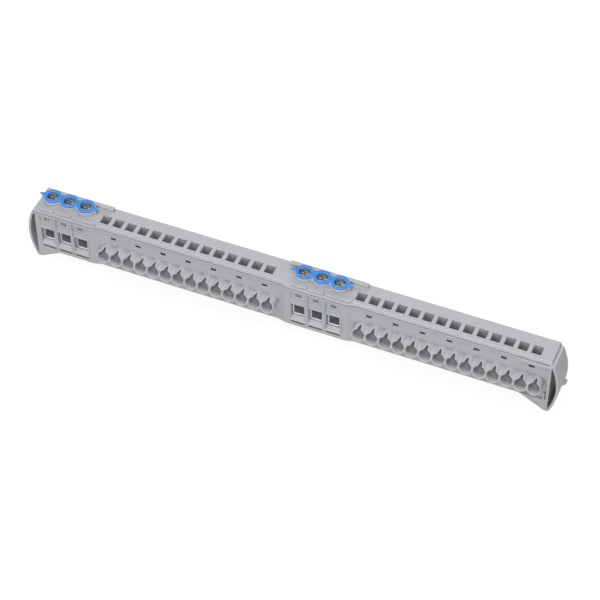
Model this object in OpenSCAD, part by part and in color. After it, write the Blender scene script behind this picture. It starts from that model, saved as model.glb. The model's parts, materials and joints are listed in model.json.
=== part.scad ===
// Neutral terminal block: two modules in a row, each with screw terminals and push-in terminals.
// +X runs along the row, the conductor entries face -Y, +Z is up; the end feet stand on Z = 0.

/* [Row] */
// Number of identical modules in the row
module_count = 2; // [1:1:3]
// Push-in terminals in each module
push_count = 14; // [4:1:16]
// Distance between push-in terminals
pitch = 5.5; // [5.4:0.05:6.5]
// Screw terminals in each module
screw_count = 3; // [2:1:4]
// Distance between screw terminals
screw_pitch = 7.45; // [7.3:0.05:9]
// From the start of a module to its first screw
screw_lead = 5.95; // [5.8:0.05:8]
// From the last screw to the first release window
window_lead = 9.65; // [9.2:0.05:14]
// From the last release window to the end of the module
window_tail = 8; // [7.6:0.1:12]
// How far the end walls stand inside the ends of the row
end_trim = 0.55; // [0:0.05:0.8]

/* [Body] */
// Height of the top face over the feet
body_h = 26.4; // [26:0.1:29]
// Height of the underside over the feet
base_z = 4.7; // [3.5:0.1:5]
// Depth of the body behind the push-in face
body_d = 11.5; // [11.2:0.1:14]
// How far the screw sections stand in front of the push-in face
screw_proud = 0.9; // [0.5:0.1:1.4]
// Length of the smooth step between the two faces
step_l = 4; // [2.5:0.1:5]
// Wall of the mouldings
wall = 1.1; // [0.9:0.05:1.2]
// Height of the light band under the cover
rim_h = 0.95; // [0.6:0.05:1.2]
// How far that band stands out of the face
rim_proud = 0.4; // [0.2:0.05:0.6]
// Groove between the band and the cover
seam = 0.35; // [0.2:0.05:0.5]
// Length of the deeper band beside the right end wall
rim_end_l = 12.5; // [6:0.5:14]

/* [Push-in entries] */
// Outer diameter of a snout
snout_d = 5.6; // [5.5:0.05:6.4]
// How far a snout's lower lip stands in front of the face
snout_reach = 6.05; // [5:0.05:7]
// Lean of a mouth from upright, in degrees
mouth_lean = 19; // [5:1:25]
// Height of the snouts' middle below the top face
snout_drop = 11.35; // [11:0.05:12]
// Shift of a mouth from its release window
mouth_shift = 2.45; // [2.2:0.05:2.8]
// Inner diameter of a snout
mouth_d = 4.8; // [4:0.05:4.9]
// Diameter of the bore behind the funnel
wire_d = 3; // [2.6:0.05:3.1]
// Length of the funnel at the foot of a mouth
funnel_l = 2.5; // [1.5:0.1:3.5]
// From the face to the end of the notch in a snout's top
notch_end = 1.75; // [1:0.05:2.5]
// Width of that notch at the lower lip
notch_w = 2.6; // [1.5:0.1:4]
// From the middle of a mouth to the chamber floor
spring_room = 5.5; // [5:0.1:6]
// Width of a spring chamber
pocket_w = 4.5; // [4.2:0.05:4.6]
// Width of a latch slot in the face
latch_w = 2.3; // [1.5:0.1:2.6]
// Height of a latch slot
latch_h = 1.2; // [0.8:0.1:1.4]
// Height of the latch slots below the top face
latch_drop = 5; // [4.8:0.05:5.4]
// From a release window to the latch slot beside it
latch_shift = 4.9; // [4.6:0.05:5.2]
// Fall of a slot's floor for each unit of depth
slot_fall = 1.3; // [1:0.05:1.5]

/* [Screw entries] */
// Width of the frame round an entry
frame_w = 7.1; // [6.9:0.05:7.2]
// Height of that frame
frame_h = 10.1; // [9.5:0.1:10.4]
// Height of the frame's top below the top face
frame_drop = 8.9; // [8.6:0.1:9.2]
// Border of the frame
frame_t = 0.55; // [0.4:0.05:0.7]
// How far the frame stands out of the face
frame_proud = 0.35; // [0.2:0.05:0.6]
// Width of an entry behind its funnel
entry_w = 5.8; // [5.4:0.05:5.9]
// Rise of the ramp from the frame to the chamber floor
ramp_h = 1.75; // [1:0.05:2]
// Height of a label panel over an entry
panel_h = 3.6; // [2.5:0.1:4]
// Depth of the label panels
panel_sink = 0.35; // [0.2:0.05:0.6]
// Height of the shadow gap under a frame
gap_h = 0.7; // [0.4:0.05:0.8]

/* [Cover] */
// Thickness of the cover
cover_t = 1.4; // [1.2:0.1:1.6]
// How far the cover's edge leans in
bevel = 0.6; // [0.2:0.05:0.8]
// Upright height of the cover's edge under its bevel
edge_h = 0.3; // [0.2:0.05:0.6]
// Length of a release window along the row
window_w = 3.9; // [3:0.05:4.2]
// Depth of a release window from front to back
window_d = 4.5; // [3.6:0.05:4.8]
// From the back face to the middle of the windows
window_back = 7.2; // [7:0.05:8]
// Taper of a window's chute on each side
chute_taper = 0.35; // [0.1:0.05:0.6]
// Wall round the chutes
chute_wall = 0.8; // [0.6:0.05:0.9]
// Outer diameter of a screw collar
collar_d = 8.4; // [7.8:0.05:8.6]
// Height of the collars over the top face
collar_h = 2.1; // [1.8:0.1:4]
// From the back face to the screw axes
screw_back = 5.6; // [5.4:0.05:6]
// Height of the raised pad under the collars
pad_h = 0.3; // [0.2:0.05:0.6]
// From the last screw to the end of that pad
pad_tail = 7.2; // [6.5:0.05:7.4]
// Height of the label ledge behind the collars
ledge_h = 1.6; // [1.2:0.1:2.4]
// Depth of the label ledge
ledge_d = 1.8; // [1.2:0.1:2.4]
// Length of the ledge's tab beyond the pad
tab_l = 3.3; // [2:0.1:4.5]
// Length of the ledge before the start of a module
ledge_lead = 1.6; // [0.5:0.1:2]
// Height of the label bars along the cover's front edge
label_h = 0.7; // [0.4:0.05:0.9]
// Length of a label bar
label_l = 4.9; // [4:0.1:5.5]
// Depth of a label bar
label_d = 1.1; // [0.8:0.05:1.3]

/* [Marker strip] */
// Outer diameter of a ring
ring_d = 7.2; // [6.8:0.05:7.44]
// Inner diameter of a ring
ring_hole_d = 4.8; // [4.6:0.05:5.2]
// Thickness of the strip
strip_t = 0.8; // [0.5:0.05:1.2]
// Length of the pointed arm at each end
arm_l = 2; // [1.5:0.1:3]
// Width of an arm at its root
arm_w = 1.8; // [1.2:0.1:2.6]
// Width of the links between the rings
link_w = 2.6; // [2:0.1:3.4]

/* [Metal] */
// Thickness of the bus bar
bar_t = 1.5; // [1.2:0.1:1.8]
// Thickness of the bus bar's spine
spine_t = 1; // [0.8:0.05:1.1]
// Height of the bus bar's spine
spine_h = 5; // [4:0.1:5.5]
// Thread diameter of a clamp screw
thread_d = 4; // [3.5:0.1:4.2]
// Head diameter of a clamp screw
head_d = 5; // [4.7:0.05:5.2]
// Head height of a clamp screw
head_h = 2.2; // [1.6:0.1:2.6]
// Depth of the screw heads below the collars
head_sink = 0.9; // [0.5:0.1:1.6]
// Width of the slots in a head
slot_w = 0.9; // [0.6:0.05:1.2]
// Depth of those slots
slot_h = 1.1; // [0.8:0.1:1.4]
// Length of the short slot across the long one
cross_l = 3.6; // [2.6:0.1:4]
// Wall of a clamp cage
cage_t = 0.7; // [0.6:0.05:0.75]
// Reach of a clamp cage behind its screw
cage_back = 3.2; // [3:0.1:3.4]
// Thickness of the threaded head of a cage
nut_h = 1.8; // [1.6:0.1:2]
// Height of the space for a conductor in an open cage
clamp_h = 4.9; // [4.5:0.1:5.2]
// Thickness of a push-in spring
spring_t = 0.35; // [0.3:0.05:0.45]
// Outer radius of a spring's loop
loop_r = 1.9; // [1.6:0.05:2.1]
// Running clearance of the moving pieces
slip = 0.2; // [0.15:0.05:0.3]

/* [End leaves] */
// How far a leaf bows out of the end wall
bow = 3.5; // [2.2:0.1:4]
// Thickness of a leaf
leaf_t = 0.9; // [0.7:0.05:1.1]
// Height of the leaves' widest point over the feet
bow_z = 12.8; // [12:0.1:14]
// How far a leaf's outer face stands out of the end wall at the foot
leaf_root = 0.6; // [0.4:0.05:0.7]
// Size of the catch on a leaf's back edge
catch_l = 2; // [1.5:0.1:3]
// How far the catch stands out of the leaf
catch_proud = 0.6; // [0.3:0.05:1]
// Rise of the feet's lower edge for each unit of length
foot_slope = 0.55; // [0.45:0.05:0.7]
// Flat length of a foot under the end wall
foot_l = 1.3; // [1.2:0.1:3]

/* [Hidden] */
$fn = 48;
eps = 0.05;
step_points = 8;
grey = [0.72, 0.72, 0.73];
blue = [0.12, 0.5, 0.95];
zinc = [0.8, 0.82, 0.84];
brass = [0.8, 0.68, 0.38];

module_l = screw_lead + (screw_count - 1) * screw_pitch + window_lead + (push_count - 1) * pitch + window_tail;
row_l = module_count * module_l;
x_end = row_l / 2 - end_trim;
back_y = (body_d + snout_reach) / 2;
push_y = back_y - body_d;
screw_y = push_y - screw_proud;
window_y = back_y - window_back;
axis_y = back_y - screw_back;
inner_y1 = back_y - wall;
seat_z = body_h - cover_t;
rim_z1 = seat_z - seam;
rim_z0 = rim_z1 - rim_h;
edge_out = rim_proud * 3 / 4;
screw_total = module_count * screw_count;
push_total = module_count * push_count;

snout_z = body_h - snout_drop;
lip_y = push_y - snout_reach;
lean = tan(mouth_lean);
pocket_shift = (pocket_w / 2 - wire_d / 2) * -2 / 3;
pocket_z = snout_z - spring_room;

frame_z1 = body_h - frame_drop;
frame_z0 = frame_z1 - frame_h;
entry_z0 = frame_z0 + frame_t;
entry_z1 = frame_z1 - frame_t;
panel_z1 = rim_z0 - rim_proud;
chamber_w = screw_pitch - wall;
chamber_z = entry_z0 + ramp_h;

seat_gap = 0.15;
cage_w = chamber_w - 2 * slip - seat_gap;
cage_z = chamber_z + slip;
cage_y0 = screw_y + wall + slip;
cage_y1 = axis_y + cage_back;
bar_z = cage_z + cage_t + clamp_h;
push_bar_z = snout_z + wire_d / 2 + slip / 2;
chute_z = push_bar_z + bar_t + slip;
cage_top = bar_z + bar_t + slip + nut_h;
finger_w = cage_w - 2 * cage_t - 2 * slip;
finger_y = axis_y - cage_back + cage_t;
spine_y1 = inner_y1 - eps;
spine_y0 = spine_y1 - spine_t;
collar_z = body_h + collar_h;
head_z = collar_z - head_h - head_sink;
head_bore_d = head_d + 2 * slip;

function module_x(m) = -row_l / 2 + m * module_l;
function screw_x(m, k) = module_x(m) + screw_lead + k * screw_pitch;
function window_x(m, k) = screw_x(m, screw_count - 1) + window_lead + k * pitch;
function mouth_x(m, k) = window_x(m, k) + mouth_shift;
function screw_end(m) = screw_x(m, screw_count - 1) + screw_pitch / 2 + wall;
spine_x0 = screw_x(0, 0) - chamber_w / 2 + seat_gap;
spine_x1 = mouth_x(module_count - 1, push_count - 1) + pocket_shift + pocket_w / 2 - seat_gap;

// Smooth step from y0 to y1 along the row
function ease(x0, y0, y1) = [
    for (i = [0 : step_points])
        [x0 + step_l * i / step_points, y0 + (y1 - y0) * (1 - cos(180 * i / step_points)) / 2]
];

// Outline of the body in plan, its front moved out of the face by a given distance
function front_path(out) = concat(
    [[-x_end, screw_y - out]],
    [
        for (m = [0 : module_count - 1])
            each concat(
                m == 0 ? [] : ease(module_x(m) - step_l / 2 - wall, push_y - out, screw_y - out),
                ease(screw_end(m), screw_y - out, push_y - out)
            )
    ],
    [[x_end, push_y - out]]
);
function outline(out) = concat(front_path(out), [[x_end, back_y], [-x_end, back_y]]);

// Straight slab with the body's outline
module slab(z0, z1, out) {
    translate([0, 0, z0]) linear_extrude(z1 - z0) polygon(outline(out));
}

// Slab with the body's outline whose front and ends lean in towards its top
module bevelled_slab(z0, z1, out, lean_in) {
    depth = back_y - screw_y + out;
    translate([0, back_y, z0])
        linear_extrude(z1 - z0, scale = [1 - lean_in / x_end, 1 - lean_in / depth], slices = 1, segments = 0)
            translate([0, -back_y]) polygon(outline(out));
}

// Solid along X from a profile drawn in (y, z)
module along_x(x0, x1) {
    translate([x0, 0, 0]) rotate([90, 0, 90]) linear_extrude(x1 - x0) children();
}

// Solid along Y from a profile drawn in (x, z)
module along_y(y0, y1) {
    translate([0, y1, 0]) rotate([90, 0, 0]) linear_extrude(y1 - y0) children();
}

module box(x0, x1, y0, y1, z0, z1) {
    translate([x0, y0, z0]) cube([x1 - x0, y1 - y0, z1 - z0]);
}

// Children at each push-in mouth or screw of the row, or at the screws of one module
module at_mouths() {
    for (m = [0 : module_count - 1])
        for (k = [0 : push_count - 1])
            translate([mouth_x(m, k), 0, 0]) children();
}
module at_collars(m) {
    for (k = [0 : screw_count - 1]) translate([screw_x(m, k), 0, 0]) children();
}
module at_screws() {
    for (m = [0 : module_count - 1]) at_collars(m) children();
}

// Bowed spring leaf outside the right end wall, joined to it at foot and top, with the catch on its back edge
module end_leaf() {
    depth = bow - leaf_root;
    r = (bow_z * bow_z + depth * depth) / (2 * depth);
    leaf_y1 = back_y - leaf_t / 3;
    along_y(screw_y, leaf_y1)
        intersection() {
            difference() {
                translate([x_end + bow - r, bow_z]) circle(r);
                intersection() {
                    translate([x_end + bow - r, bow_z]) circle(r - leaf_t);
                    translate([x_end, 0]) square([bow, seat_z - leaf_t]);
                }
            }
            translate([x_end - wall / 2, 0]) square([bow + wall, seat_z]);
        }
    catch_z = bow_z / 2;
    along_y(leaf_y1 - catch_l, leaf_y1)
        polygon([
            [x_end + bow - leaf_t, catch_z + catch_l * 2 / 3],
            [x_end + bow + catch_proud, catch_z + catch_l / 3],
            [x_end + bow, catch_z - catch_l / 3],
            [x_end + bow - leaf_t, catch_z - catch_l / 2]
        ]);
}

// End wall with its foot: a front and a back gusset under the body
module end_wall() {
    box(x_end - wall, x_end, screw_y, back_y, 0, seat_z);
    gusset_z = base_z + wall;
    gusset = [
        [x_end, 0], [x_end, gusset_z], [x_end - foot_l - gusset_z / foot_slope, gusset_z], [x_end - foot_l, 0]
    ];
    along_y(screw_y, screw_y + 2 * wall) polygon(gusset);
    along_y(back_y - wall, back_y) polygon(gusset);
}

// Deeper end of the band under the cover, and the small rib under it beside the last snout
module right_end_rim() {
    x0 = x_end - rim_end_l;
    translate([0, 0, rim_z0]) linear_extrude(rim_h)
        polygon([
            [x0, push_y], [x0, push_y - rim_proud], [x0 + screw_proud, screw_y - rim_proud],
            [x_end, screw_y - rim_proud], [x_end, push_y]
        ]);
    box(x_end - 2 * wall, x_end - wall - rim_proud, screw_y, push_y + eps, base_z, pocket_z);
}

// Horizontal snouts of one row, cut off along a leaning plane so that the lower lips reach out
module snouts() {
    difference() {
        at_mouths()
            translate([0, push_y + wall / 2, snout_z]) rotate([90, 0, 0])
                cylinder(h = snout_reach + wall / 2, d = snout_d);
        middle_y = lip_y + snout_d / 2 * lean;
        far = 2 * snout_reach;
        along_x(-x_end, x_end)
            polygon([
                [middle_y - snout_d * lean, snout_z - snout_d], [middle_y + snout_d * lean, snout_z + snout_d],
                [push_y - far, snout_z + snout_d], [push_y - far, snout_z - snout_d]
            ]);
    }
}

// Mouth, funnel and bore of one push-in entry, and the notch in the snout's top
module mouth_cut() {
    notch_tip = 0.3;
    translate([0, 0, snout_z]) rotate([-90, 0, 0]) {
        translate([0, 0, lip_y - eps]) cylinder(h = snout_reach - funnel_l + eps, d = mouth_d);
        translate([0, 0, push_y - funnel_l]) cylinder(h = funnel_l, d1 = mouth_d, d2 = wire_d);
        translate([0, 0, lip_y]) cylinder(h = snout_reach + wall + eps, d = wire_d);
    }
    translate([0, 0, snout_z]) linear_extrude(snout_d)
        polygon([
            [-notch_w / 2, lip_y - eps], [notch_w / 2, lip_y - eps],
            [notch_tip / 2, push_y - notch_end], [-notch_tip / 2, push_y - notch_end]
        ]);
}

// Funnel of one screw entry: the overlap of a plan wedge and a side wedge
module entry_cut() {
    y0 = screw_y - frame_proud - eps;
    y1 = screw_y + wall + eps;
    half_w = frame_w / 2 - frame_t;
    intersection() {
        linear_extrude(body_h) polygon([[-half_w, y0], [half_w, y0], [entry_w / 2, y1], [-entry_w / 2, y1]]);
        along_x(-half_w, half_w)
            polygon([[y0, entry_z0], [y1, cage_z], [y1, entry_z1], [y0, entry_z1]]);
    }
}

// Slot through a face whose floor falls away behind it, so that it looks dark from above
module falling_slot(w, y, depth, z0, z1) {
    along_x(-w / 2, w / 2)
        polygon([
            [y - eps, z0], [y, z0], [y + depth, z0 - depth * slot_fall], [y + depth, z1], [y - eps, z1]
        ]);
}

// Latch slot in the push-in face
module latch_cut() {
    z0 = body_h - latch_drop - latch_h / 2;
    falling_slot(latch_w, push_y, 3 * wall, z0, z0 + latch_h);
}

module housing() {
    color(grey) difference() {
        union() {
            slab(base_z, seat_z, 0);
            slab(rim_z0, rim_z1, rim_proud);
            right_end_rim();
            end_wall();
            mirror([1, 0, 0]) end_wall();
            end_leaf();
            mirror([1, 0, 0]) end_leaf();
            snouts();
            at_screws()
                box(-frame_w / 2, frame_w / 2, screw_y - frame_proud, screw_y + eps, frame_z0, frame_z1);
        }
        // Slot for the spine of the bus bar through all partitions
        box(spine_x0 - seat_gap, spine_x1 + seat_gap, spine_y0 - seat_gap, inner_y1, bar_z, body_h);
        // Chambers of the screw terminals, hollows under them, funnels, label panels and shadow gaps
        at_screws() {
            box(-chamber_w / 2, chamber_w / 2, screw_y + wall, inner_y1, chamber_z, body_h);
            box(-chamber_w / 2, chamber_w / 2, screw_y + 2 * wall, inner_y1, base_z - eps, chamber_z - wall);
            entry_cut();
            box(-chamber_w / 2, chamber_w / 2, screw_y - eps, screw_y + panel_sink, panel_z1 - panel_h, panel_z1);
            falling_slot(entry_w, screw_y, wall, frame_z0 - frame_proud - gap_h, frame_z0 - frame_proud);
        }
        // Chambers of the push-in terminals, hollows under them, and their mouths
        at_mouths() {
            x0 = pocket_shift - pocket_w / 2;
            box(x0, x0 + pocket_w, push_y + wall, inner_y1, pocket_z, body_h);
            box(x0, x0 + pocket_w, push_y + 2 * wall, inner_y1, base_z - eps, pocket_z - wall);
            mouth_cut();
        }
        for (m = [0 : module_count - 1]) {
            // Room for the cover's chutes over the partitions
            translate([0, 0, chute_z - slip]) linear_extrude(body_h) chute_plan(m, slip);
            for (k = [0 : 2 : push_count - 1]) translate([window_x(m, k) + latch_shift, 0, 0]) latch_cut();
        }
    }
}

// Plan of the block that holds one module's chutes, grown by a gap
module chute_plan(m, gap) {
    grow = chute_wall + gap;
    translate([window_x(m, 0) - window_w / 2 - grow, window_y - window_d / 2 - grow])
        square([(push_count - 1) * pitch + window_w + 2 * grow, window_d + 2 * grow]);
}

// One module's windows and chutes: the overlap of wedges across and along the row
module window_cuts(m) {
    z0 = chute_z - eps;
    z1 = body_h + eps;
    intersection() {
        along_y(window_y - window_d, window_y + window_d)
            for (k = [0 : push_count - 1])
                translate([window_x(m, k), 0])
                    polygon([
                        [-window_w / 2 + chute_taper, z0], [window_w / 2 - chute_taper, z0],
                        [window_w / 2, z1], [-window_w / 2, z1]
                    ]);
        along_x(window_x(m, 0) - pitch, window_x(m, push_count - 1) + pitch)
            polygon([
                [window_y - window_d / 2 + chute_taper, z0], [window_y + window_d / 2 - chute_taper, z0],
                [window_y + window_d / 2, z1], [window_y - window_d / 2, z1]
            ]);
    }
}

// Raised pad under one module's collars, the label ledge behind them, the label bars and the arms' posts
module collar_pad(m) {
    last_x = screw_x(m, screw_count - 1);
    edge = bevel + seat_gap;
    x0 = max(module_x(m), edge - x_end);
    x1 = last_x + pad_tail;
    y1 = back_y - edge;
    z0 = body_h - eps;
    post_x = ring_d / 2 + arm_l / 4;
    label_y0 = screw_y - edge_out + edge;
    box(x0, x1, screw_y + wall, y1, z0, body_h + pad_h);
    box(max(module_x(m) - ledge_lead, edge - x_end), x1 + tab_l, y1 - ledge_d, y1, z0, body_h + ledge_h);
    at_collars(m) {
        translate([0, axis_y, z0]) cylinder(h = collar_h + eps, d1 = collar_d + pad_h, d2 = collar_d - 2 * pad_h);
        box(-label_l / 2, label_l / 2, label_y0, label_y0 + label_d, z0, body_h + label_h);
    }
    for (x = [screw_x(m, 0) - post_x, last_x + post_x])
        translate([x, axis_y, z0]) linear_extrude(collar_h + eps) square([arm_l / 2, arm_w], center = true);
}

module cover() {
    crease = 0.2;
    color(grey) difference() {
        union() {
            slab(seat_z, seat_z + edge_h, edge_out);
            bevelled_slab(seat_z + edge_h, body_h, edge_out, bevel);
            for (m = [0 : module_count - 1]) {
                collar_pad(m);
                translate([0, 0, chute_z]) linear_extrude(seat_z - chute_z + eps) chute_plan(m, 0);
            }
        }
        for (m = [0 : module_count - 1]) {
            window_cuts(m);
            // Fine crease in front of the windows
            box(
                window_x(m, 0) - window_w / 2, window_x(m, push_count - 1) + window_w / 2,
                push_y + wall, push_y + wall + crease, body_h - crease, body_h + eps
            );
        }
        at_screws() translate([0, axis_y, seat_z - eps])
            cylinder(h = cover_t + collar_h + 2 * eps, d = head_bore_d);
    }
}

// Pointed arm of a marker strip, growing out of a ring towards +X
module strip_arm() {
    tip_w = 0.4;
    root = (ring_hole_d + ring_d) / 4;
    polygon([
        [root, -arm_w / 2], [ring_d / 2 + arm_l, -tip_w / 2], [ring_d / 2 + arm_l, tip_w / 2], [root, arm_w / 2]
    ]);
}

module marker_strip(m) {
    link_l = screw_pitch - (ring_hole_d + ring_d) / 2;
    color(blue) translate([0, axis_y, collar_z]) linear_extrude(strip_t) {
        difference() {
            at_collars(m) circle(d = ring_d);
            at_collars(m) circle(d = ring_hole_d);
        }
        for (k = [0 : screw_count - 2])
            translate([screw_x(m, k) + screw_pitch / 2, 0]) square([link_l, link_w], center = true);
        translate([screw_x(m, 0), 0]) rotate(180) strip_arm();
        translate([screw_x(m, screw_count - 1), 0]) strip_arm();
    }
}

// Comb-shaped bar: a spine along the back, with a finger for each terminal
module bus_bar() {
    push_finger = pocket_w / 2 - slip;
    color(brass) {
        box(spine_x0, spine_x1, spine_y0, spine_y1, bar_z, bar_z + spine_h);
        at_screws() box(-finger_w / 2, finger_w / 2, cage_y0 + cage_t, spine_y1, bar_z, bar_z + bar_t);
        at_mouths()
            box(
                pocket_shift - push_finger, pocket_shift + push_finger,
                finger_y, spine_y1, push_bar_z, push_bar_z + bar_t
            );
    }
}

// Rising cage: a closed frame round the bar's finger, threaded at its top for the screw
module clamp_cage(m, k) {
    color(zinc) translate([screw_x(m, k), 0, 0]) difference() {
        box(-cage_w / 2, cage_w / 2, cage_y0, cage_y1, cage_z, cage_top);
        box(
            -cage_w / 2 + cage_t, cage_w / 2 - cage_t,
            cage_y0 - eps, cage_y1 + eps, cage_z + cage_t, cage_top - nut_h
        );
        translate([0, axis_y, cage_top - 2 * nut_h]) cylinder(h = 3 * nut_h, d = thread_d + 2 * eps);
    }
}

// Slotted screw whose point bears on the bar's finger
module clamp_screw(m, k) {
    color(zinc) translate([screw_x(m, k), axis_y, 0]) difference() {
        union() {
            translate([0, 0, bar_z + bar_t]) cylinder(h = head_z - bar_z - bar_t + eps, d = thread_d);
            translate([0, 0, head_z]) cylinder(h = head_h, d = head_d);
        }
        box(-head_d, head_d, -slot_w / 2, slot_w / 2, head_z + head_h - slot_h, collar_z);
        box(-slot_w / 2, slot_w / 2, -cross_l / 2, cross_l / 2, head_z + head_h - slot_h, collar_z);
    }
}

// Bent strip: one leg on the chamber floor, a loop at the back, the free leg rising to the bar's finger
module push_spring(m, k) {
    w = pocket_w - 2 * slip;
    y_front = push_y + wall + slip;
    loop_y = spine_y0 - slip - loop_r;
    loop_top = pocket_z + 2 * loop_r;
    tip_y = finger_y + cage_t;
    tip_z = push_bar_z - slip / 2;
    color(zinc) translate([mouth_x(m, k) + pocket_shift, 0, 0])
        along_x(-w / 2, w / 2) {
            translate([y_front, pocket_z]) square([loop_y - y_front, spring_t]);
            intersection() {
                translate([loop_y, pocket_z + loop_r]) difference() {
                    circle(loop_r);
                    circle(loop_r - spring_t);
                }
                translate([loop_y, pocket_z]) square([loop_r, 2 * loop_r]);
            }
            polygon([
                [loop_y, loop_top - spring_t], [loop_y, loop_top], [tip_y, tip_z], [tip_y, tip_z - spring_t]
            ]);
        }
}

housing();
cover();
bus_bar();
for (m = [0 : module_count - 1]) {
    marker_strip(m);
    for (k = [0 : screw_count - 1]) {
        clamp_cage(m, k);
        clamp_screw(m, k);
    }
    for (k = [0 : push_count - 1])
        push_spring(m, k);
}
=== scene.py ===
"""Looks of the neutral terminal block: materials, small detail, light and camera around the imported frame."""
import json
import math

import bpy
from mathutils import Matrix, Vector


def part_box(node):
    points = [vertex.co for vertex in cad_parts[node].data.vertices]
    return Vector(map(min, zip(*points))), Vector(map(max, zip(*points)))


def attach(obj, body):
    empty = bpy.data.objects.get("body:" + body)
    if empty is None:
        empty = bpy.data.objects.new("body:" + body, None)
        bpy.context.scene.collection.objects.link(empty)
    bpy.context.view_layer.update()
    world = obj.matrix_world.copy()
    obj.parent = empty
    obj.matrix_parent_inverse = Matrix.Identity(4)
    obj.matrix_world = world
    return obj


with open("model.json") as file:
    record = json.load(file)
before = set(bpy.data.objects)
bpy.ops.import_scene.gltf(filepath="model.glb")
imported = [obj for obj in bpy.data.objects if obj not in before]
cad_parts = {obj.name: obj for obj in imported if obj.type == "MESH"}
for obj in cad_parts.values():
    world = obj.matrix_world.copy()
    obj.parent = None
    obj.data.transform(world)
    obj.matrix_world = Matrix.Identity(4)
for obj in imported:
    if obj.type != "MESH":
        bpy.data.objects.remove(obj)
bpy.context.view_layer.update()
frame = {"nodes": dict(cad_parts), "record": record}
MM = 0.001

# The photograph's view: degrees, metres, and the lens and sensor in millimetres
VIEW_AZIMUTH = 22.74
VIEW_ELEVATION = 46.54
VIEW_DISTANCE = 0.8238
VIEW_AIM = Vector((4.97, 0.865, 14.92)) * MM
LENS_MM = 125.6
SENSOR_MM = 36.0

# Light: level of the surroundings, and each lamp's azimuth, elevation, distance, width and power
AMBIENT = 0.30
LAMPS = {
    "key": (-25, 74, 0.9, 1.0, 6.1),
    "fill": (16, 20, 1.0, 0.66, 4.2),
    "back": (180, 25, 1.2, 0.6, 3.2),
}

# Floor: half its side in metres, its colour, its own glow and that glow's share
FLOOR_HALF = 6.0
FLOOR_GREY = (0.35, 0.35, 0.35, 1)
FLOOR_GLOW = 1.32
GLOW_SHARE = 0.7

# Colours, linear: lighter blotches, darker blotches, and a paler edge colour that is a painted highlight
WHITE = (1, 1, 1, 1)
GREY_EDGE_HIGHLIGHT = (0.80, 0.80, 0.81, 1)
GREY = ((0.485, 0.488, 0.508, 1), (0.445, 0.448, 0.466, 1), GREY_EDGE_HIGHLIGHT)
# The cover's colours are the housing's grey painted darker: painted shade against the stronger light on the
# cover's top face.
COVER_DARKENED = ((0.440, 0.443, 0.462, 1), (0.402, 0.405, 0.422, 1), GREY_EDGE_HIGHLIGHT)
BLUE = ((0.01, 0.22, 0.76, 1), (0.01, 0.18, 0.66, 1), (0.45, 0.74, 1.0, 1))
ZINC = ((0.74, 0.80, 0.81, 1), (0.60, 0.66, 0.68, 1), (0.90, 0.92, 0.92, 1))
SCREW = ((0.62, 0.58, 0.50, 1), (0.30, 0.27, 0.23, 1), (0.85, 0.83, 0.78, 1))
SPRING = ((0.62, 0.62, 0.63, 1), (0.45, 0.45, 0.46, 1), (0.75, 0.75, 0.76, 1))
BRASS = ((0.50, 0.42, 0.28, 1), (0.36, 0.29, 0.18, 1), (0.70, 0.60, 0.42, 1))
INK = ((0.10, 0.10, 0.11, 1), (0.06, 0.06, 0.07, 1), (0.10, 0.10, 0.11, 1))

# Blotches, grain, and the rounded edges with their painted highlight, for every surface
BLOTCH_SCALE = 90.0
BLOTCH_DETAIL = 4.0
BLOTCH_ROUGHNESS = 0.6
GRAIN_DETAIL = 3.0
GRAIN_ROUGHNESS = 0.55
GRAIN_RELIEF = 0.02 * MM
EDGE_SAMPLES = 6
EDGE_BEND = 0.75

# Painted shade from ambient occlusion, darkening crevices, hollows and the gaps between parts: the openness
# that counts as deepest, and the gaps behind the end leaves where this painted shade is weakened so they stay
# lighter
PAINTED_SHADE_SAMPLES = 8
PAINTED_SHADE_DEEPEST = 0.1
END_FROM = 109.0 * MM
END_TO = 109.6 * MM
END_OPENNESS = 0.8

# Snouts of the housing and the webs between them
SNOUT_D = 5.6 * MM
SNOUT_LEVEL = 15.05 * MM
SNOUT_REACH = 6.2 * MM
MOUTH_LEAN = 19
MOUTH_FROM_SPRING = 0.5 * MM
WEB_RADIUS = 2.6 * MM
WEB_FOOT = 0.5 * MM
WEB_TOP = 2.1 * MM
WEB_DIP = 0.3 * MM
WEB_STEPS = 4

# Ribs between the screw entries and label bars on the cover's front edge
SCREWS_IN_ROW = 3
SCREW_FACE = -3.625 * MM
RIB_W = 0.6 * MM
RIB_PROUD = 0.5 * MM
RIB_ROOT = 0.4 * MM
RIB_LOW = 7.4 * MM
RIB_HIGH = 23.9 * MM
BAR_HALF = 3.3 * MM
BAR_TAIL = 6.9 * MM
BAR_FRONT = 0.1 * MM
BAR_BACK = 1.5 * MM
BAR_LOW = 26.3 * MM
BAR_HIGH = 27.2 * MM
BOX_FACES = [(0, 1, 3, 2), (4, 6, 7, 5), (0, 4, 5, 1), (2, 3, 7, 6), (0, 2, 6, 4), (1, 5, 7, 3)]

# Printed terminal numbers, placed from a point well in front of the block
NUMBER_LEVEL = 21.6 * MM
NUMBER_HEIGHT = 1.9 * MM
NUMBER_STRETCH = 1.3
NUMBER_DEPTH = 0.03 * MM
NUMBER_BOLD = 0.06 * MM
NUMBER_TURN = (math.radians(90), 0, 0)
FAR_FRONT = -1.0


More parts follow.
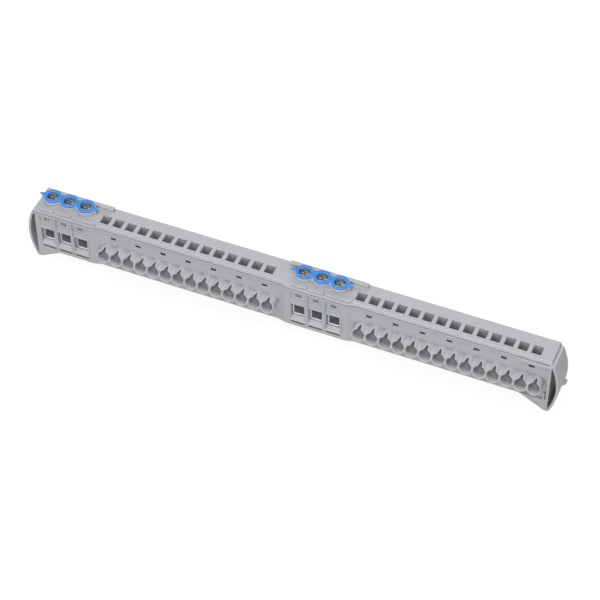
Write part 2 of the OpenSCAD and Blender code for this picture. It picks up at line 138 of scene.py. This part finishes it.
class Nodes:
    """Short way to add shader nodes to one tree and join them."""

    def __init__(self, tree):
        self.tree = tree
        tree.nodes.clear()

    def put(self, value, socket):
        """Links a socket, or sets a constant on the input itself."""
        if isinstance(value, bpy.types.NodeSocket):
            self.tree.links.new(value, socket)
        else:
            socket.default_value = value

    def add(self, kind, **inputs):
        node = self.tree.nodes.new(kind)
        for name, value in inputs.items():
            self.put(value, node.inputs[name.replace("_", " ")])
        return node

    def calculate(self, kind, operation, *values):
        """A math node of the kind, with its values in order."""
        node = self.add(kind)
        node.operation = operation
        for value, socket in zip(values, node.inputs):
            self.put(value, socket)
        return node

    def math(self, operation, *values):
        return self.calculate("ShaderNodeMath", operation, *values).outputs[0]

    def mix(self, factor, first, second):
        """Colour between two others, each a colour or a socket."""
        node = self.add("ShaderNodeMix")
        node.data_type = "RGBA"
        self.put(factor, node.inputs["Factor"])
        self.put(first, node.inputs[6])
        self.put(second, node.inputs[7])
        return node.outputs[2]

    def map(self, value, from_min, from_max, to_min, to_max):
        """A value moved from one range to another and held inside it."""
        node = self.add("ShaderNodeMapRange", Value=value, From_Min=from_min, From_Max=from_max,
                        To_Min=to_min, To_Max=to_max)
        return node.outputs["Result"]


def surface(name, colours, rough, metallic, grain_mm, stretch=(1, 1, 1), edge_mm=0.2, bump=0.1,
            painted_shade_level=0.27, reach_mm=5.0, open_at=0.65):
    """Procedural material: blotches of two close colours, fine grain, paler edges as a painted highlight, and
    painted shade that darkens crevices.
    """
    light, dark, edge_highlight_colour = colours
    material = bpy.data.materials.new(name)
    material.use_nodes = True
    nodes = Nodes(material.node_tree)
    place = nodes.add("ShaderNodeTexCoord").outputs["Object"]
    scaled = nodes.add("ShaderNodeMapping", Vector=place, Scale=stretch).outputs["Vector"]
    blotch = nodes.add("ShaderNodeTexNoise", Vector=place, Scale=BLOTCH_SCALE,
                       Detail=BLOTCH_DETAIL, Roughness=BLOTCH_ROUGHNESS)
    grain = nodes.add("ShaderNodeTexNoise", Vector=scaled, Scale=1 / (grain_mm * MM),
                      Detail=GRAIN_DETAIL, Roughness=GRAIN_ROUGHNESS)
    body_colour = nodes.mix(blotch.outputs["Fac"], dark, light)
    edge = nodes.add("ShaderNodeBevel", Radius=edge_mm * MM)
    edge.samples = EDGE_SAMPLES
    flat = nodes.add("ShaderNodeNewGeometry").outputs["Normal"]
    bend = nodes.calculate("ShaderNodeVectorMath", "DOT_PRODUCT", flat, edge.outputs["Normal"])
    # Painted highlight: where the rounded normal bends away from the flat one, the colour turns to the paler
    # edge colour.
    edge_highlight = nodes.map(bend.outputs["Value"], 1.0, EDGE_BEND, 0.0, 1.0)
    edge_highlit_colour = nodes.mix(edge_highlight, body_colour, edge_highlight_colour)
    # Painted shade: ambient occlusion within reach darkens the colour in crevices, hollows and between parts,
    # down to a darkened copy of the dark colour.
    shade_occlusion = nodes.add("ShaderNodeAmbientOcclusion", Color=edge_highlit_colour, Distance=reach_mm * MM)
    shade_occlusion.samples = PAINTED_SHADE_SAMPLES
    openness = nodes.map(shade_occlusion.outputs["AO"], PAINTED_SHADE_DEEPEST, open_at, painted_shade_level, 1.0)
    along = nodes.add("ShaderNodeSeparateXYZ", Vector=place).outputs["X"]
    # Behind the end leaves the painted shade is weakened, which lightens those gaps.
    end_light = nodes.map(nodes.math("ABSOLUTE", along), END_FROM, END_TO, 0.0, END_OPENNESS)
    painted_shade_colour = tuple(painted_shade_level * channel for channel in dark[:3]) + (1,)
    colour = nodes.mix(nodes.math("MAXIMUM", openness, end_light), painted_shade_colour, edge_highlit_colour)
    relief = nodes.add("ShaderNodeBump", Strength=bump, Distance=GRAIN_RELIEF,
                       Height=grain.outputs["Fac"], Normal=edge.outputs["Normal"])
    shader = nodes.add("ShaderNodeBsdfPrincipled", Base_Color=colour, Metallic=metallic,
                       Roughness=nodes.map(grain.outputs["Fac"], 0.0, 1.0, *rough),
                       Normal=relief.outputs["Normal"])
    nodes.add("ShaderNodeOutputMaterial", Surface=shader.outputs["BSDF"])
    return material


MATERIALS = {
    "grey_plastic": surface("grey_plastic", GREY, rough=(0.38, 0.55), metallic=0.0, grain_mm=0.12),
    # The cover's material: a darker copy of the grey plastic, painted shade against the light on its top.
    "grey_cover_darkened": surface("grey_cover_darkened", COVER_DARKENED, rough=(0.38, 0.55), metallic=0.0, grain_mm=0.12,
                          edge_mm=0.3, painted_shade_level=0.66, reach_mm=3.0, open_at=0.85),
    "blue_plastic": surface("blue_plastic", BLUE, rough=(0.3, 0.42), metallic=0.0, grain_mm=0.15,
                            edge_mm=0.4, bump=0.05, painted_shade_level=0.6, reach_mm=1.0),
    "zinc_steel": surface("zinc_steel", ZINC, rough=(0.36, 0.52), metallic=0.85, grain_mm=0.2,
                          stretch=(1, 0.15, 1), edge_mm=0.45, painted_shade_level=0.6),
    "screw_steel": surface("screw_steel", SCREW, rough=(0.25, 0.45), metallic=1.0, grain_mm=0.25,
                           painted_shade_level=0.8),
    "spring_steel": surface("spring_steel", SPRING, rough=(0.25, 0.4), metallic=1.0, grain_mm=0.15,
                            stretch=(1, 0.1, 1)),
    "brass": surface("brass", BRASS, rough=(0.28, 0.45), metallic=1.0, grain_mm=0.2,
                     stretch=(0.1, 1, 1)),
    "ink": surface("ink", INK, rough=(0.5, 0.65), metallic=0.0, grain_mm=0.2, bump=0.02),
}


def dress_cad_nodes():
    """Gives each CAD node the material of its slot, and the cover a darker copy of the grey, painted shade
    against the stronger light on its top face.
    """
    for part in frame["record"]["subparts"]:
        piece = frame["nodes"][part["node"]]
        finish = "grey_cover_darkened" if part["node"] == "cover" else part["material_slot"]
        piece.data.materials.clear()
        piece.data.materials.append(MATERIALS[finish])


def add_piece(name, mesh, finish, place=(0, 0, 0), turn=(0, 0, 0), scale=(1, 1, 1)):
    """Adds a mesh as a small piece that rides the block."""
    mesh.materials.append(MATERIALS[finish])
    piece = bpy.data.objects.new(name, mesh)
    bpy.context.scene.collection.objects.link(piece)
    piece.location = place
    piece.rotation_euler = turn
    piece.scale = scale
    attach(piece, "block")


def middles_of(prefix):
    """X of the middle of every node whose name starts so, from the left."""
    names = [name for name in frame["nodes"] if name.startswith(prefix)]
    return sorted(sum(corner[0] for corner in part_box(name)) / 2 for name in names)


def number_mesh(name, digits):
    """Flat digits, centred, in the plane of X and Y."""
    curve = bpy.data.curves.new(name, "FONT")
    curve.body = digits
    curve.size = NUMBER_HEIGHT
    curve.extrude = NUMBER_DEPTH
    curve.offset = NUMBER_BOLD
    curve.align_x = "CENTER"
    curve.align_y = "CENTER"
    writing = bpy.data.objects.new(name, curve)
    bpy.context.scene.collection.objects.link(writing)
    mesh = bpy.data.meshes.new_from_object(writing.evaluated_get(bpy.context.evaluated_depsgraph_get()))
    bpy.data.objects.remove(writing)
    return mesh


def number_terminals():
    """Plain terminal numbers on the label panels over the screw entries."""
    housing = frame["nodes"]["housing"]
    for number, middle in enumerate(middles_of("clamp_screw_"), 1):
        start = Vector((middle, FAR_FRONT, NUMBER_LEVEL))
        found, panel, _, _ = housing.ray_cast(start, Vector((0, 1, 0)))
        if found:
            name = f"terminal_number_{number}"
            digits = number_mesh(name, f"{number:02d}")
            add_piece(name, digits, "ink", panel, NUMBER_TURN, (NUMBER_STRETCH, 1, 1))


def snout_webs():
    """Shallow webs that fill the valleys between the crowns of neighbouring snouts."""
    mouths = [middle + MOUTH_FROM_SPRING for middle in middles_of("push_spring_")]
    lip_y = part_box("housing")[0][1]
    root_y = lip_y + SNOUT_REACH
    lean = math.tan(math.radians(MOUTH_LEAN))
    pitch = mouths[1] - mouths[0]
    levels = [WEB_FOOT + (WEB_TOP - WEB_FOOT) * i / WEB_STEPS for i in range(WEB_STEPS + 1)]
    right = [(pitch / 2 - math.sqrt(WEB_RADIUS ** 2 - z ** 2), z) for z in levels]
    left = [(-x, z) for x, z in reversed(right)]
    section = right + [(0, WEB_TOP - WEB_DIP)] + left
    corners = len(section)
    points = []
    faces = []
    for here, beside in zip(mouths, mouths[1:]):
        if beside - here > SNOUT_D:
            continue
        first = len(points)
        middle = (here + beside) / 2
        points += [(middle + x, lip_y + (SNOUT_D / 2 + z) * lean, SNOUT_LEVEL + z) for x, z in section]
        points += [(middle + x, root_y, SNOUT_LEVEL + z) for x, z in section]
        faces.append([first + i for i in range(corners)])
        faces.append([first + 2 * corners - 1 - i for i in range(corners)])
        for i in range(corners):
            after = (i + 1) % corners
            faces.append([first + after, first + i, first + corners + i, first + corners + after])
    mesh = bpy.data.meshes.new("snout_webs")
    mesh.from_pydata(points, [], faces)
    add_piece("snout_webs", mesh, "grey_plastic")


def box_piece(name, low, high, finish):
    """A small moulded box between two corners."""
    corners = [(x, y, z) for x in (low[0], high[0]) for y in (low[1], high[1]) for z in (low[2], high[2])]
    mesh = bpy.data.meshes.new(name)
    mesh.from_pydata(corners, [], BOX_FACES)
    add_piece(name, mesh, finish)


def ribs_and_bars():
    """Ribs between neighbouring screw entries, and label bars over the entries on the cover's front edge."""
    middles = middles_of("clamp_screw_")
    for number, middle in enumerate(middles, 1):
        last = number % SCREWS_IN_ROW == 0
        right = BAR_TAIL if last else BAR_HALF
        box_piece(f"label_bar_{number}", (middle - BAR_HALF, SCREW_FACE + BAR_FRONT, BAR_LOW),
                  (middle + right, SCREW_FACE + BAR_BACK, BAR_HIGH), "grey_cover_darkened")
        if last:
            continue
        between = (middle + middles[number]) / 2
        box_piece(f"entry_rib_{number}", (between - RIB_W / 2, SCREW_FACE - RIB_PROUD, RIB_LOW),
                  (between + RIB_W / 2, SCREW_FACE + RIB_ROOT, RIB_HIGH), "grey_plastic")


def seen_directly(nodes):
    """1 for camera, glossy and transmission rays, 0 for the rays that light the object."""
    path = nodes.add("ShaderNodeLightPath").outputs
    mirrored = nodes.math("MAXIMUM", path["Is Camera Ray"], path["Is Glossy Ray"])
    return nodes.math("MAXIMUM", mirrored, path["Is Transmission Ray"])


def white_world():
    """White where it is seen, and a weak even light on the object."""
    world = bpy.data.worlds.new("studio")
    bpy.context.scene.world = world
    world.use_nodes = True
    nodes = Nodes(world.node_tree)
    level = nodes.map(seen_directly(nodes), 0.0, 1.0, AMBIENT, 1.0)
    sky = nodes.add("ShaderNodeBackground", Color=WHITE, Strength=level)
    nodes.add("ShaderNodeOutputWorld", Surface=sky.outputs["Background"])


def white_floor():
    """A white floor that keeps a light shadow."""
    half = FLOOR_HALF
    mesh = bpy.data.meshes.new("floor")
    corners = [(-half, -half, 0), (half, -half, 0), (half, half, 0), (-half, half, 0)]
    mesh.from_pydata(corners, [], [(0, 1, 2, 3)])
    floor = bpy.data.objects.new("floor", mesh)
    bpy.context.scene.collection.objects.link(floor)
    material = bpy.data.materials.new("floor_white")
    material.use_nodes = True
    nodes = Nodes(material.node_tree)
    matte = nodes.add("ShaderNodeBsdfDiffuse", Color=FLOOR_GREY)
    glow = nodes.add("ShaderNodeEmission", Color=WHITE, Strength=FLOOR_GLOW)
    share = nodes.math("MULTIPLY", seen_directly(nodes), GLOW_SHARE)
    both = nodes.add("ShaderNodeMixShader", Fac=share)
    nodes.put(matte.outputs["BSDF"], both.inputs[1])
    nodes.put(glow.outputs["Emission"], both.inputs[2])
    nodes.add("ShaderNodeOutputMaterial", Surface=both.outputs["Shader"])
    mesh.materials.append(material)


def direction(azimuth, elevation):
    """Unit vector towards a viewer at these angles; azimuth 0 stands in front, on -Y."""
    a = math.radians(azimuth)
    e = math.radians(elevation)
    return Vector((math.sin(a) * math.cos(e), -math.cos(a) * math.cos(e), math.sin(e)))


def lamp(name, azimuth, elevation, distance, width, power):
    """A round soft lamp that faces the block."""
    light = bpy.data.lights.new(name, "AREA")
    light.shape = "DISK"
    light.size = width
    light.energy = power
    holder = bpy.data.objects.new(name, light)
    towards = direction(azimuth, elevation)
    holder.location = towards * distance
    holder.rotation_euler = towards.to_track_quat("Z", "Y").to_euler()
    bpy.context.scene.collection.objects.link(holder)


def photo_camera():
    """The camera at the photograph's angle."""
    camera = bpy.data.cameras.new("photo")
    camera.lens = LENS_MM
    camera.sensor_width = SENSOR_MM
    holder = bpy.data.objects.new("photo", camera)
    towards = direction(VIEW_AZIMUTH, VIEW_ELEVATION)
    holder.location = VIEW_AIM + towards * VIEW_DISTANCE
    holder.rotation_euler = towards.to_track_quat("Z", "Y").to_euler()
    bpy.context.scene.collection.objects.link(holder)
    bpy.context.scene.camera = holder


bpy.context.scene.view_settings.view_transform = "Standard"
dress_cad_nodes()
number_terminals()
snout_webs()
ribs_and_bars()
white_world()
white_floor()
for lamp_name, setting in LAMPS.items():
    lamp(lamp_name, *setting)
photo_camera()
